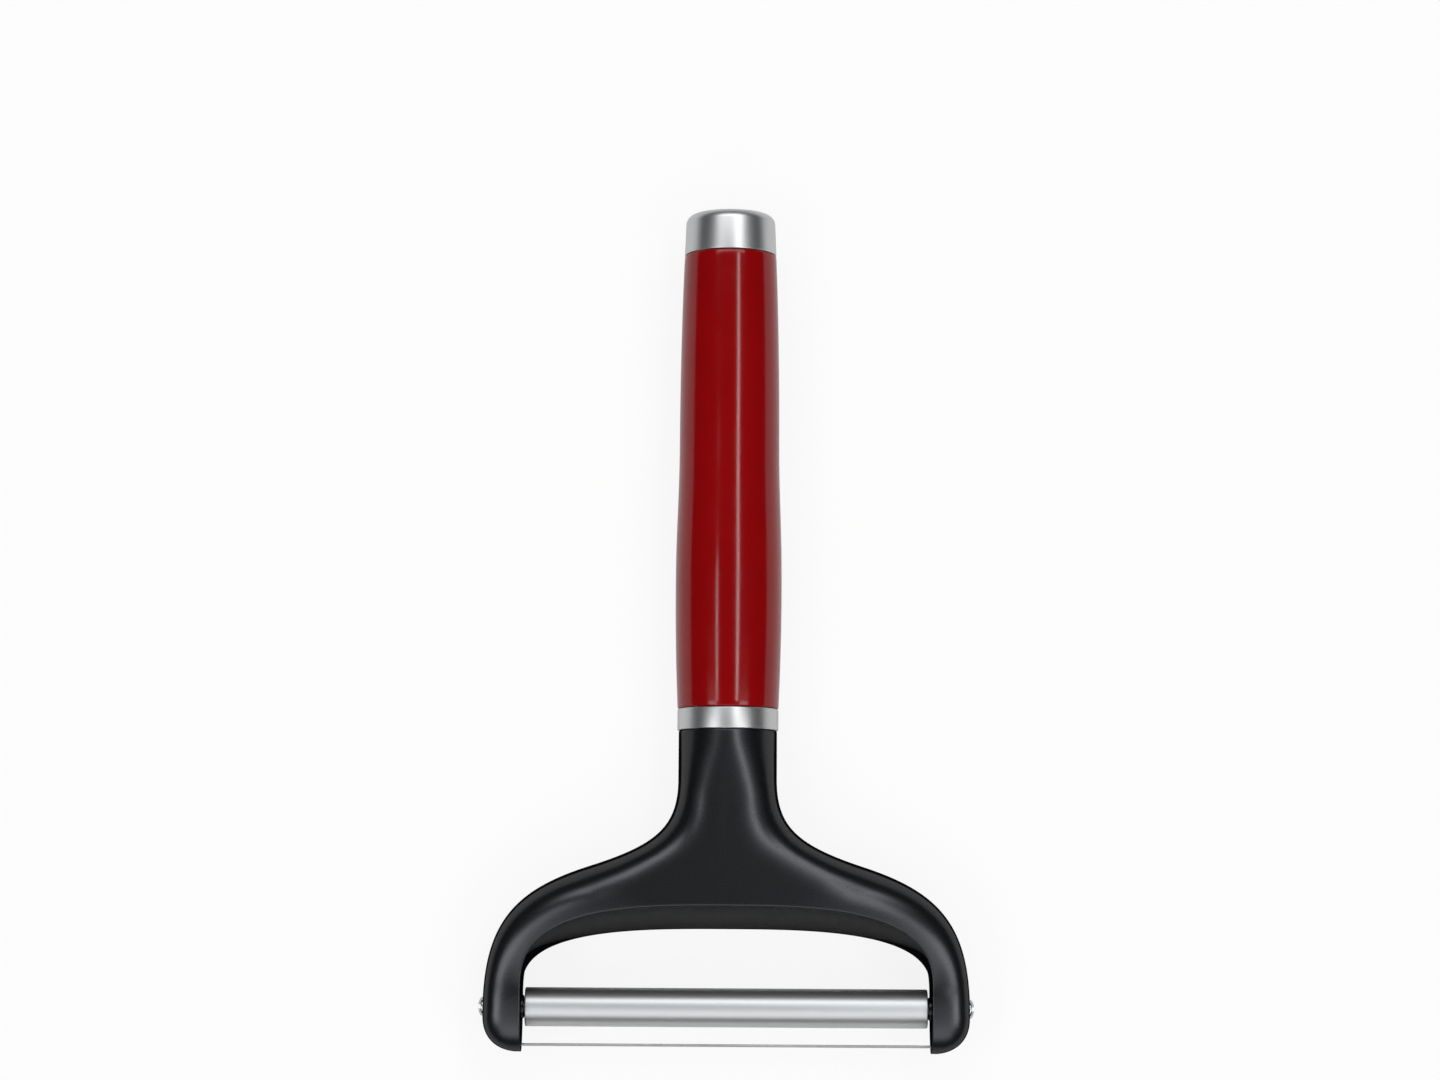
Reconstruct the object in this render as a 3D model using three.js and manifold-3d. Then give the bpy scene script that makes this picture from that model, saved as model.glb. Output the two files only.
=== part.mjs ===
import * as THREE from "three";
import { mergeVertices } from "three/addons/utils/BufferGeometryUtils.js";
import Module from "manifold-3d";

const wasm = await Module();
wasm.setup();

// Driving sizes in millimetres. X runs along the roller, Y from the leg tips to the end cap, Z is the front.
// Handle: the radii of grip, ferrule and cap are stated against the neck's.
const NECK_RADIUS = 10.85;
const FERRULE_PROUD = 0.3;
const FERRULE_LENGTH = 4.8;
const FERRULE_WALL = 0.7;
const FERRULE_EDGE = 0.21;
const GRIP_LENGTH = 101.5;
const GRIP_WALL = 3.2;
const FOOT_PROUD = 0.3;
const BELLY_PROUD = 0.91;
const BELLY_HEIGHT = 26.4;
const WAIST_PROUD = 0.23;
const WAIST_HEIGHT = 61;
const CAP_INSET = 0.6;
const CAP_LENGTH = 9.2;
const CAP_TAPER = 0.35;
const CAP_EDGE = 2;
const CAP_WALL = 0.7;
// Grip outline: how far its curve handles reach, as shares of the stretch they lie in.
const FOOT_LEAN = 0.65;
const FOOT_HANDLE = 0.33;
const BELLY_HANDLE_BELOW = 0.68;
const BELLY_HANDLE_ABOVE = 0.45;
const WAIST_HANDLE_BELOW = 0.54;
const WAIST_HANDLE_ABOVE = 0.34;
const TOP_HANDLE = 0.76;
const TOP_LEAN = 0.45;
// Tang: a collar at the grip's mouth and crossed ribs behind it.
const COLLAR_LENGTH = 9;
const TANG_LENGTH = 78;
const TANG_RIB = 3;
// Yoke: heights are taken from the leg tips.
const HEAD_LENGTH = 70.3;
const NECK_LENGTH = 10.8;
const SWELL_LENGTH = 29;
const FLATTEN_LENGTH = 16.5;
const LEG_SPAN = 89.7;
const LEG_WIDTH = 8.45;
const LEG_DEPTH = 14;
const TIP_LENGTH = 7.9;
const NOSE_LENGTH = 14;
const NOSE_BLUNT = 0.985;
const TIP_POWER = 2.3;
const SPRING_RISE = 12.3;
const RIDGE_RISE = 26.7;
const EDGE_RISE = 5.1;
const ARCH_POWER = 3;
const SHOULDER_RISE = 40.5;
const SHOULDER_REACH = 30.1;
const SHOULDER_SLOPE = 0.32;
const EDGE_ROUNDING = 12;
// Yoke outline: where its curve handles lie, as shares of the stretch between neck, shoulder and leg.
const NECK_HANDLE = 0.55;
const SHOULDER_HANDLE_ABOVE = 0.79;
const SHOULDER_HANDLE_BELOW = 0.745;
const LEG_HANDLE = 0.61;
const LEG_STRAIGHT = 0.9;
// Yoke ribs: the share of the flare above the opening's middle, how the ribs spread along the opening,
// where the arms thin towards the legs, and how full the section is (2 is an ellipse).
const CROWN_SHARE = 0.57;
const RIB_SPREAD = 1.7;
const THIN_START = 0.15;
const THIN_SHARE = 0.75;
const ROUND_POWER = 2;
const NECK_POWER = 3.4;
const ARM_POWER = 2.7;
const LEG_POWER = 3.4;
const ARM_START_SHARE = 0.3;
const LEG_START_SHARE = 0.5;
const LEG_FULL_SHARE = 0.85;
const TIP_LAST_DEGREES = 82;
// Roller and its pivot screws.
const ROLLER_RISE = 9.7;
const ROLLER_DIAMETER = 8.5;
const ROLLER_WALL = 0.8;
const ROLLER_EDGE = 0.32;
const PLUG_LENGTH = 8;
const PIVOT_DIAMETER = 2.2;
const PIVOT_REACH = 6;
const PIN_CHAMFER = 0.33;
const SCREW_HEAD_DIAMETER = 4.2;
const SCREW_HEAD_HEIGHT = 1.55;
const SCREW_RIM_HEIGHT = 0.54;
const SCREW_HEAD_SINK = 0.55;
const BOSS_DIAMETER = 5;
const BOSS_HEIGHT = 0.6;
// Cutting wire.
const WIRE_DIAMETER = 0.6;
const WIRE_RISE = 1.5;
const HOOK_LEAD = 0.9;
const HOOK_START_DEGREES = 65;
const HOOK_TURN_DEGREES = 220;
// Clearances: fitted faces, end faces that meet, the roller's end play, the wire in its slit.
const FIT = 0.1;
const SEAM = 0.1;
const END_PLAY = 0.25;
const WIRE_PLAY = 0.12;
// Depth by which joined solids run into each other.
const OVERLAP = 1;

// Facets.
const HANDLE_SIDES = 48;
const ROLLER_SIDES = 40;
const BORE_SIDES = 32;
const ROUND_STEPS = 8;
const FLAT_STEPS = 2;
const GRIP_STEPS = 8;
const NECK_RIBS = 4;
const FLARE_RIBS = 12;
const ARCH_RIBS = 22;
const TIP_RIBS = 8;
const DOME_STEPS = 5;
const BEND_STEPS = 10;
const HOOK_STEPS = 10;
const WIRE_STEPS = 160;
const WIRE_SEGMENTS = 3;
const LEAD_STEPS = 16;

// Places that follow from the sizes.
const bellyRadius = NECK_RADIUS + BELLY_PROUD;
const ferruleInner = NECK_RADIUS + FERRULE_PROUD - FERRULE_WALL;
const footY = FERRULE_LENGTH + SEAM;
const gripTopY = footY + GRIP_LENGTH;
const capRadius = NECK_RADIUS - CAP_INSET;
const capBottomY = gripTopY + SEAM;
const capTopY = capBottomY + CAP_LENGTH;
const capInner = capRadius - CAP_TAPER - CAP_WALL;
const boreMouth = NECK_RADIUS + FOOT_PROUD - GRIP_WALL;
const boreEnd = capRadius - GRIP_WALL;
const boreDepth = GRIP_LENGTH - GRIP_WALL;
const tipY = -HEAD_LENGTH;
const tipStartY = tipY + TIP_LENGTH;
const halfSpan = LEG_SPAN / 2;
const outerX = halfSpan + LEG_WIDTH;
const axisY = tipY + ROLLER_RISE;
const tubeEnd = halfSpan - BOSS_HEIGHT - END_PLAY;
const tubeInner = ROLLER_DIAMETER / 2 - ROLLER_WALL;
const pivotRadius = PIVOT_DIAMETER / 2;
const headSeatX = outerX - SCREW_HEAD_SINK;
const wireRadius = WIRE_DIAMETER / 2;
const wireY = tipY + WIRE_RISE;
const hookX = headSeatX - FIT - wireRadius;
const hookRadius = pivotRadius + FIT + wireRadius;
const recessRadius = Math.max(SCREW_HEAD_DIAMETER / 2, hookRadius + wireRadius) + FIT;
const recessFloorX = hookX - wireRadius - FIT;

// Closed solid for joining and cutting, from any three.js geometry.
function solidOf(geometry) {
  const bare = geometry.clone();
  bare.deleteAttribute("normal");
  bare.deleteAttribute("uv");
  const merged = mergeVertices(bare, 1e-4);
  const corners = merged.index.array;
  const kept = [];
  for (let i = 0; i < corners.length; i += 3) {
    const [a, b, c] = [corners[i], corners[i + 1], corners[i + 2]];
    if (a !== b && b !== c && a !== c) kept.push(a, b, c);
  }
  const vertProperties = new Float32Array(merged.attributes.position.array);
  const triVerts = new Uint32Array(kept);
  return new wasm.Manifold(new wasm.Mesh({ numProp: 3, vertProperties, triVerts }));
}

// Geometry of a joined or cut solid.
function geometryOf(solid) {
  const mesh = solid.getMesh();
  const geometry = new THREE.BufferGeometry();
  geometry.setAttribute("position", new THREE.BufferAttribute(mesh.vertProperties, 3));
  geometry.setIndex(new THREE.BufferAttribute(mesh.triVerts, 1));
  const flat = geometry.toNonIndexed();
  flat.computeVertexNormals();
  return flat;
}

// Turned piece about Y from radius and height pairs.
function turned(pairs, sides) {
  const points = pairs.map(([radius, height]) => new THREE.Vector2(radius, height));
  return new THREE.LatheGeometry(points, sides);
}

// Turned piece laid along X, its heights counted from the mid-plane towards one leg.
function turnedAlongX(pairs, sides, side) {
  return turned(pairs, sides).rotateZ((-side * Math.PI) / 2);
}

// Cylinder along X between two distances from the mid-plane, on one leg.
function cylinderAlongX(radius, from, to, side) {
  const cylinder = new THREE.CylinderGeometry(radius, radius, to - from, BORE_SIDES);
  cylinder.rotateZ(Math.PI / 2);
  return cylinder.translate((side * (from + to)) / 2, axisY, 0);
}

function easeBetween(from, to, share) {
  return THREE.MathUtils.lerp(from, to, THREE.MathUtils.smoothstep(share, 0, 1));
}

function softMin(a, b) {
  return (a + b - Math.hypot(a - b, 1)) / 2;
}

// Width and height shares of a rounded-off quarter at an angle.
function quarter(angle, power) {
  const width = Math.max(Math.cos(angle), 0) ** (2 / power);
  const height = Math.max(Math.sin(angle), 0) ** (2 / power);
  return { width, height };
}

// Half of the opening's outline, from the middle of the arch to the straight leg.
class ArchCurve extends THREE.Curve {
  constructor(crownY) {
    super();
    this.springY = tipY + SPRING_RISE;
    this.crownY = crownY;
  }
  getPoint(t) {
    const { width, height } = quarter(((1 - t) * Math.PI) / 2, ARCH_POWER);
    const y = THREE.MathUtils.lerp(this.springY, this.crownY, height);
    return new THREE.Vector2(halfSpan * width, y);
  }
}

// Grip: swelling outline outside, drafted bore for the tang inside, spigot for the cap on top.
function gripPairs() {
  const bellyY = footY + BELLY_HEIGHT;
  const waistY = footY + WAIST_HEIGHT;
  const footRadius = NECK_RADIUS + FOOT_PROUD;
  const waistRadius = NECK_RADIUS + WAIST_PROUD;
  const swell = bellyRadius - footRadius;
  const rise = bellyY - footY;
  const fall = waistY - bellyY;
  const rest = gripTopY - waistY;
  const outline = new THREE.Path();
  outline.moveTo(footRadius, footY);
  outline.bezierCurveTo(
    footRadius + swell * FOOT_LEAN, footY + rise * FOOT_HANDLE,
    bellyRadius, footY + rise * BELLY_HANDLE_BELOW, bellyRadius, bellyY);
  outline.bezierCurveTo(
    bellyRadius, bellyY + fall * BELLY_HANDLE_ABOVE,
    waistRadius, bellyY + fall * WAIST_HANDLE_BELOW, waistRadius, waistY);
  outline.bezierCurveTo(
    waistRadius, waistY + rest * WAIST_HANDLE_ABOVE,
    capRadius + TOP_LEAN, waistY + rest * TOP_HANDLE, capRadius, gripTopY);
  const pairs = outline.getPoints(GRIP_STEPS).map((p) => [p.x, p.y]);
  const spigot = capInner - FIT;
  const spigotTopY = capTopY - CAP_WALL - SEAM;
  pairs.push([spigot, gripTopY], [spigot, spigotTopY - CAP_EDGE], [spigot - CAP_EDGE, spigotTopY]);
  pairs.push([0, spigotTopY]);
  pairs.unshift([0, footY + boreDepth], [boreEnd, footY + boreDepth - CAP_WALL], [boreMouth, footY]);
  return pairs;
}

// End cap: a drawn cup with a rounded edge.
function capPairs() {
  const topRadius = capRadius - CAP_TAPER;
  const pairs = [[0, capTopY - CAP_WALL], [capInner - CAP_EDGE, capTopY - CAP_WALL]];
  pairs.push([capInner, capTopY - CAP_WALL - CAP_EDGE], [capInner, capBottomY], [capRadius, capBottomY]);
  for (let step = 0; step <= ROUND_STEPS; step++) {
    const angle = (step / ROUND_STEPS) * (Math.PI / 2);
    const radius = topRadius - CAP_EDGE * (1 - Math.cos(angle));
    pairs.push([radius, capTopY - CAP_EDGE * (1 - Math.sin(angle))]);
  }
  pairs.push([0, capTopY]);
  return pairs;
}

// Ferrule: a ring with a softened outer edge, slipped over the yoke's seat.
function ferrulePairs() {
  const outer = NECK_RADIUS + FERRULE_PROUD;
  const top = FERRULE_LENGTH;
  const bottom = SEAM;
  return [
    [ferruleInner, bottom],
    [outer - FERRULE_EDGE, bottom],
    [outer, bottom + FERRULE_EDGE],
    [outer, top - FERRULE_EDGE],
    [outer - FERRULE_EDGE, top],
    [ferruleInner, top],
    [ferruleInner, bottom],
  ];
}

// Half the yoke's depth below the ferrule: it grows fast at first, to that of the grip's belly.
function swellDepth(y) {
  const left = 1 - Math.min(-y / SWELL_LENGTH, 1);
  return THREE.MathUtils.lerp(bellyRadius, NECK_RADIUS, left ** 2);
}

// Fullness of the neck's section, which turns from round to flat in front.
function neckPower(y) {
  return easeBetween(ROUND_POWER, NECK_POWER, -y / FLATTEN_LENGTH);
}

// Fullness of the section between the opening's middle and a leg.
function armPower(share) {
  const arm = easeBetween(NECK_POWER, ARM_POWER, share / ARM_START_SHARE);
  return easeBetween(arm, LEG_POWER, (share - LEG_START_SHARE) / (LEG_FULL_SHARE - LEG_START_SHARE));
}

// Share of a leg's depth that is left at a height: the legs thin to a nose at their tips.
function noseShare(y) {
  const fall = Math.max(1 - (y - tipY) / NOSE_LENGTH, 0) * NOSE_BLUNT;
  return (1 - fall ** TIP_POWER) ** (1 / TIP_POWER);
}

// Ribs of the yoke's right half: where each one starts on the outline, ends on the opening's front edge,
// where the opening's ridge lies, how deep and full it is and how far its rolled edge reaches.
function yokeRibs() {
  const shoulder = new THREE.Vector2(SHOULDER_REACH, tipY + SHOULDER_RISE);
  const along = new THREE.Vector2(1, -SHOULDER_SLOPE).normalize();
  const neckEnd = new THREE.Vector2(NECK_RADIUS, -NECK_LENGTH);
  const legStart = new THREE.Vector2(outerX, tipStartY + LEG_STRAIGHT);
  const flare = new THREE.CubicBezierCurve(
    neckEnd,
    new THREE.Vector2(NECK_RADIUS, THREE.MathUtils.lerp(neckEnd.y, shoulder.y, NECK_HANDLE)),
    shoulder.clone().addScaledVector(along, -(shoulder.x - NECK_RADIUS) * SHOULDER_HANDLE_ABOVE),
    shoulder,
  );
  const sweep = new THREE.CubicBezierCurve(
    shoulder,
    shoulder.clone().addScaledVector(along, (outerX - shoulder.x) * SHOULDER_HANDLE_BELOW),
    new THREE.Vector2(outerX, THREE.MathUtils.lerp(legStart.y, shoulder.y, LEG_HANDLE)),
    legStart,
  );
  const ridge = new ArchCurve(tipY + RIDGE_RISE);
  const edge = new ArchCurve(tipY + RIDGE_RISE + EDGE_RISE);
  const edgeCrownY = edge.getPoint(0).y;
  const ridgeCrownY = ridge.getPoint(0).y;
  const ribs = [];
  const addRib = (outer, inner, ridgePoint, depth, power, roundShare, opens) => {
    const length = outer.distanceTo(inner);
    const round = easeBetween(length, softMin(EDGE_ROUNDING, length), roundShare);
    ribs.push({ outer, inner, ridge: ridgePoint, depth, power, round, opens });
  };

  for (let i = 0; i < NECK_RIBS; i++) {
    const y = (neckEnd.y * i) / NECK_RIBS;
    const middle = new THREE.Vector2(0, y);
    addRib(new THREE.Vector2(NECK_RADIUS, y), middle, middle, swellDepth(y), neckPower(y), 0, false);
  }
  for (let i = 0; i <= FLARE_RIBS; i++) {
    const share = i / FLARE_RIBS;
    const inner = new THREE.Vector2(0, THREE.MathUtils.lerp(neckEnd.y, edgeCrownY, share));
    const ridgePoint = new THREE.Vector2(0, THREE.MathUtils.lerp(neckEnd.y, ridgeCrownY, share));
    const outer = flare.getPointAt(share * CROWN_SHARE);
    addRib(outer, inner, ridgePoint, swellDepth(inner.y), neckPower(inner.y), share, i === FLARE_RIBS);
  }
  const flareLeft = flare.getLength() * (1 - CROWN_SHARE);
  const outlineLeft = flareLeft + sweep.getLength();
  for (let i = 1; i <= ARCH_RIBS; i++) {
    const share = i / ARCH_RIBS;
    const run = share * outlineLeft;
    const onFlare = run < flareLeft;
    const outer = onFlare
      ? flare.getPointAt(CROWN_SHARE + run / flare.getLength())
      : sweep.getPointAt(Math.min((run - flareLeft) / sweep.getLength(), 1));
    const inward = 1 - (1 - share) ** RIB_SPREAD;
    const depth = easeBetween(bellyRadius, LEG_DEPTH / 2, (share - THIN_START) / THIN_SHARE);
    addRib(outer, edge.getPointAt(inward), ridge.getPointAt(inward), depth, armPower(share), 1, true);
  }
  const lastAngle = THREE.MathUtils.degToRad(TIP_LAST_DEGREES);
  for (let i = 0; i <= TIP_RIBS; i++) {
    const { width, height } = quarter((i / TIP_RIBS) * lastAngle, TIP_POWER);
    const y = tipStartY - (TIP_LENGTH * height) / quarter(lastAngle, TIP_POWER).height;
    const inner = new THREE.Vector2(halfSpan, y);
    const outer = new THREE.Vector2(halfSpan + LEG_WIDTH * width, y);
    addRib(outer, inner, inner, LEG_DEPTH / 2, LEG_POWER, 1, true);
  }
  return ribs;
}

// Front line of one rib, from the outline over the rolled edge and the flat to the ridge.
function ribLine({ outer, inner, ridge, depth, power, round }) {
  const length = outer.distanceTo(inner);
  const line = [];
  const place = (reach, z) => {
    const at = outer.clone().lerp(inner, reach / length);
    line.push(new THREE.Vector3(at.x, at.y, z * noseShare(at.y)));
  };
  for (let step = 0; step <= ROUND_STEPS; step++) {
    const { width, height } = quarter((step / ROUND_STEPS) * (Math.PI / 2), power);
    place(round * (1 - width), depth * height);
  }
  for (let step = 1; step <= FLAT_STEPS; step++) {
    place(THREE.MathUtils.lerp(round, length, step / FLAT_STEPS), depth);
  }
  line.push(new THREE.Vector3(ridge.x, ridge.y, 0));
  return line;
}

// Yoke shell: the ribs lofted into one skin and mirrored to the back and to the other leg.
function yokeShell() {
  const ribs = yokeRibs();
  const lines = ribs.map(ribLine);
  const last = lines[0].length - 1;
  const positions = [];
  const addTriangle = (a, b, c, side, face) => {
    const corners = side * face > 0 ? [a, b, c] : [a, c, b];
    for (const p of corners) positions.push(side * p.x, p.y, face * p.z);
  };
  for (const side of [1, -1]) {
    for (const face of [1, -1]) {
      for (let i = 0; i + 1 < lines.length; i++) {
        const [upper, lower] = [lines[i], lines[i + 1]];
        const end = ribs[i].opens ? last : last - 1;
        for (let k = 0; k < end; k++) {
          addTriangle(upper[k], lower[k + 1], lower[k], side, face);
          addTriangle(upper[k], upper[k + 1], lower[k + 1], side, face);
        }
      }
      const [first, final] = [lines[0], lines[lines.length - 1]];
      for (let k = 0; k + 1 < last; k++) {
        addTriangle(first[last], first[k + 1], first[k], side, face);
        addTriangle(final[last], final[k], final[k + 1], side, face);
      }
    }
  }
  const shell = new THREE.BufferGeometry();
  shell.setAttribute("position", new THREE.Float32BufferAttribute(positions, 3));
  return shell;
}

// Wire's run on one leg: along the slit round the tip, then hooked round the pivot screw under its head.
function wireTail(side) {
  const points = [];
  const bendEndY = axisY - recessRadius - HOOK_LEAD;
  const bendHeight = TIP_LENGTH - WIRE_RISE;
  for (let step = 0; step <= BEND_STEPS; step++) {
    const { width, height } = quarter(((1 - step / BEND_STEPS) * Math.PI) / 2, TIP_POWER);
    const y = tipStartY - bendHeight * height;
    const x = side * (halfSpan + (hookX - halfSpan) * width);
    if (y < bendEndY) points.push(new THREE.Vector3(x, y, 0));
  }
  points.push(new THREE.Vector3(side * hookX, bendEndY, 0));
  for (let step = 0; step <= HOOK_STEPS; step++) {
    const angle = THREE.MathUtils.degToRad(HOOK_START_DEGREES + HOOK_TURN_DEGREES * (step / HOOK_STEPS));
    const y = axisY - hookRadius * Math.cos(angle);
    points.push(new THREE.Vector3(side * hookX, y, hookRadius * Math.sin(angle)));
  }
  return points;
}

// Round rod along a smooth curve through points.
function rodThrough(points, radius, steps) {
  const section = new THREE.Shape().absarc(0, 0, radius, 0, Math.PI * 2);
  const extrudePath = new THREE.CatmullRomCurve3(points);
  return new THREE.ExtrudeGeometry(section, { steps, extrudePath, curveSegments: WIRE_SEGMENTS });
}

function wireGeometry() {
  const span = [-0.9, -0.5, 0, 0.5, 0.9].map((share) => new THREE.Vector3(share * halfSpan, wireY, 0));
  return rodThrough([...wireTail(-1).reverse(), ...span, ...wireTail(1)], wireRadius, WIRE_STEPS);
}

// Saw slit that takes the wire round a leg's tip, open to the outside.
function slitGeometry(side) {
  const room = wireRadius + WIRE_PLAY;
  const far = outerX + LEG_WIDTH;
  const width = hookX - halfSpan - room;
  const height = TIP_LENGTH - WIRE_RISE - room;
  const outline = new THREE.Shape();
  outline.moveTo(side * (halfSpan - BOSS_HEIGHT), tipStartY - height);
  for (let step = 0; step <= BEND_STEPS; step++) {
    const share = quarter(((1 - step / BEND_STEPS) * Math.PI) / 2, TIP_POWER);
    outline.lineTo(side * (halfSpan + width * share.width), tipStartY - height * share.height);
  }
  outline.lineTo(side * far, tipStartY);
  outline.lineTo(side * far, tipY - LEG_WIDTH);
  outline.lineTo(side * (halfSpan - BOSS_HEIGHT), tipY - LEG_WIDTH);
  const slit = new THREE.ExtrudeGeometry(outline, { depth: 2 * room, bevelEnabled: false });
  return slit.translate(0, 0, -room);
}

// Yoke: lofted shell, seat for the ferrule, tang, bosses, and the cuts for screws and wire.
function yokeGeometry() {
  let yoke = solidOf(yokeShell());
  const seat = new THREE.CylinderGeometry(
    ferruleInner - FIT, ferruleInner - FIT, FERRULE_LENGTH + OVERLAP, HANDLE_SIDES);
  yoke = yoke.add(solidOf(seat.translate(0, (FERRULE_LENGTH - OVERLAP) / 2, 0)));
  const collarLength = COLLAR_LENGTH + OVERLAP;
  const collarRadius = THREE.MathUtils.lerp(boreMouth, boreEnd, collarLength / boreDepth) - FIT;
  const collar = new THREE.CylinderGeometry(collarRadius, collarRadius, collarLength, HANDLE_SIDES);
  yoke = yoke.add(solidOf(collar.translate(0, FERRULE_LENGTH + (COLLAR_LENGTH - OVERLAP) / 2, 0)));
  const ribWidth = 2 * Math.sqrt((boreEnd - FIT) ** 2 - (TANG_RIB / 2) ** 2);
  const tangMiddle = FERRULE_LENGTH + TANG_LENGTH / 2;
  for (const [x, z] of [[ribWidth, TANG_RIB], [TANG_RIB, ribWidth]]) {
    yoke = yoke.add(solidOf(new THREE.BoxGeometry(x, TANG_LENGTH, z).translate(0, tangMiddle, 0)));
  }
  for (const side of [1, -1]) {
    const boss = cylinderAlongX(BOSS_DIAMETER / 2, halfSpan - BOSS_HEIGHT, halfSpan + OVERLAP, side);
    const bore = cylinderAlongX(pivotRadius + FIT, halfSpan - BOSS_HEIGHT - OVERLAP, outerX, side);
    const recess = cylinderAlongX(recessRadius, recessFloorX, outerX + LEG_WIDTH, side);
    const tail = wireTail(side);
    const hookStart = tail.findIndex((p) => p.z > 0);
    const lead = rodThrough(tail.slice(hookStart - 3, hookStart + 3), wireRadius + WIRE_PLAY, LEAD_STEPS);
    yoke = yoke.add(solidOf(boss)).subtract(solidOf(bore)).subtract(solidOf(recess));
    yoke = yoke.subtract(solidOf(slitGeometry(side))).subtract(solidOf(lead));
  }
  return geometryOf(yoke);
}

function rollerTubePairs() {
  const outer = ROLLER_DIAMETER / 2;
  return [
    [tubeInner, -tubeEnd],
    [outer - ROLLER_EDGE, -tubeEnd],
    [outer, -tubeEnd + ROLLER_EDGE],
    [outer, tubeEnd - ROLLER_EDGE],
    [outer - ROLLER_EDGE, tubeEnd],
    [tubeInner, tubeEnd],
    [tubeInner, -tubeEnd],
  ];
}

function plugPairs() {
  const outer = tubeInner - FIT;
  const bore = pivotRadius + FIT;
  const back = tubeEnd - PLUG_LENGTH;
  return [[bore, back], [outer, back], [outer, tubeEnd], [bore, tubeEnd], [bore, back]];
}

// Pivot screw: plain pin into the roller's plug, pan head with a domed top outside the leg.
function screwPairs() {
  const headRadius = SCREW_HEAD_DIAMETER / 2;
  const pinEnd = tubeEnd - PIVOT_REACH;
  const pairs = [[0, pinEnd], [pivotRadius - PIN_CHAMFER, pinEnd], [pivotRadius, pinEnd + PIN_CHAMFER]];
  pairs.push([pivotRadius, headSeatX]);
  pairs.push([headRadius, headSeatX]);
  for (let step = 0; step <= DOME_STEPS; step++) {
    const angle = (step / DOME_STEPS) * (Math.PI / 2);
    const height = headSeatX + SCREW_RIM_HEIGHT + (SCREW_HEAD_HEIGHT - SCREW_RIM_HEIGHT) * Math.sin(angle);
    pairs.push([step === DOME_STEPS ? 0 : headRadius * Math.cos(angle), height]);
  }
  return pairs;
}

const redPlastic = new THREE.MeshStandardMaterial({ color: 0x7a0a0c, roughness: 0.15, metalness: 0 });
const blackNylon = new THREE.MeshStandardMaterial({ color: 0x15161a, roughness: 0.45, metalness: 0 });
const polishedSteel = new THREE.MeshStandardMaterial({ color: 0xc4c6c8, roughness: 0.2, metalness: 1 });
const satinSteel = new THREE.MeshStandardMaterial({ color: 0xbcc0c4, roughness: 0.35, metalness: 1 });

const tool = new THREE.Group();
tool.name = "roller_cheese_slicer";

function addPiece(name, geometry, material, y) {
  const piece = new THREE.Mesh(geometry, material.clone());
  piece.name = name;
  piece.position.y = y;
  tool.add(piece);
}

addPiece("end_cap", turned(capPairs(), HANDLE_SIDES), polishedSteel, 0);
addPiece("handle_grip", turned(gripPairs(), HANDLE_SIDES), redPlastic, 0);
addPiece("ferrule", turned(ferrulePairs(), HANDLE_SIDES), polishedSteel, 0);
addPiece("yoke", yokeGeometry(), blackNylon, 0);
addPiece("roller_tube", turnedAlongX(rollerTubePairs(), ROLLER_SIDES, 1), satinSteel, axisY);
addPiece("cutting_wire", wireGeometry(), satinSteel, 0);
for (const [word, side] of [["left", -1], ["right", 1]]) {
  addPiece(`roller_plug_${word}`, turnedAlongX(plugPairs(), BORE_SIDES, side), blackNylon, axisY);
  addPiece(`pivot_screw_${word}`, turnedAlongX(screwPairs(), BORE_SIDES, side), polishedSteel, axisY);
}

// The tool lies on its back: belly and yoke flat on the ground, centred on its length.
tool.position.set(0, -(capTopY + tipY) / 2, bellyRadius);

const part = new THREE.Group();
part.add(tool);
export default part;
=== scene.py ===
"""Roller cheese slicer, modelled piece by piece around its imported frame."""

import bisect
import math

import bmesh
import bpy
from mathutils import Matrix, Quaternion, Vector
from mathutils.geometry import interpolate_bezier


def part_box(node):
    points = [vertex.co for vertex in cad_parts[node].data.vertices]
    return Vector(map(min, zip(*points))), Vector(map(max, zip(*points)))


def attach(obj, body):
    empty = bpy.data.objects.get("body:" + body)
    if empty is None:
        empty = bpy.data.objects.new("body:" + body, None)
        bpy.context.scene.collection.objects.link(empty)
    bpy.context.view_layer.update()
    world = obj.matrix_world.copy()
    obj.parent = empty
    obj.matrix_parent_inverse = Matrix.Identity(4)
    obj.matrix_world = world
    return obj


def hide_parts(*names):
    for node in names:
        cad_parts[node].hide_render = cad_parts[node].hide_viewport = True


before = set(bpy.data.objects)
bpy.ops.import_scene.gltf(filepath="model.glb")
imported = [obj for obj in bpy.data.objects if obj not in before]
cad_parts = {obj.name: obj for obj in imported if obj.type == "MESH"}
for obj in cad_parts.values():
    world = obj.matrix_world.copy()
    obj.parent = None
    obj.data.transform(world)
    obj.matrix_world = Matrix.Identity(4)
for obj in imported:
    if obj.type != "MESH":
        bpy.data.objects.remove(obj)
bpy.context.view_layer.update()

bl_info = {
    "name": "Roller Cheese Slicer",
    "version": (1, 0, 0),
    "blender": (4, 5, 0),
    "location": "View3D > Sidebar > Slicer",
    "description": "Models a roller cheese slicer around its packed frame",
    "category": "Add Mesh",
}

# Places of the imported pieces, in metres.
CAP_LOW, CAP_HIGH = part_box("end_cap")
GRIP_LOW, GRIP_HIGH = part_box("handle_grip")
FERRULE_LOW, FERRULE_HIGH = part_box("ferrule")
YOKE_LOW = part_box("yoke")[0]
TUBE_LOW, TUBE_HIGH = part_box("roller_tube")
PLUG_LOW, PLUG_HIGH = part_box("roller_plug_right")
SCREW_LOW, SCREW_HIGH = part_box("pivot_screw_right")
HANDLE_AXIS = Vector((0, 0, (GRIP_LOW.z + GRIP_HIGH.z) / 2))
ROLLER_AXIS = (TUBE_LOW + TUBE_HIGH) / 2

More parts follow.
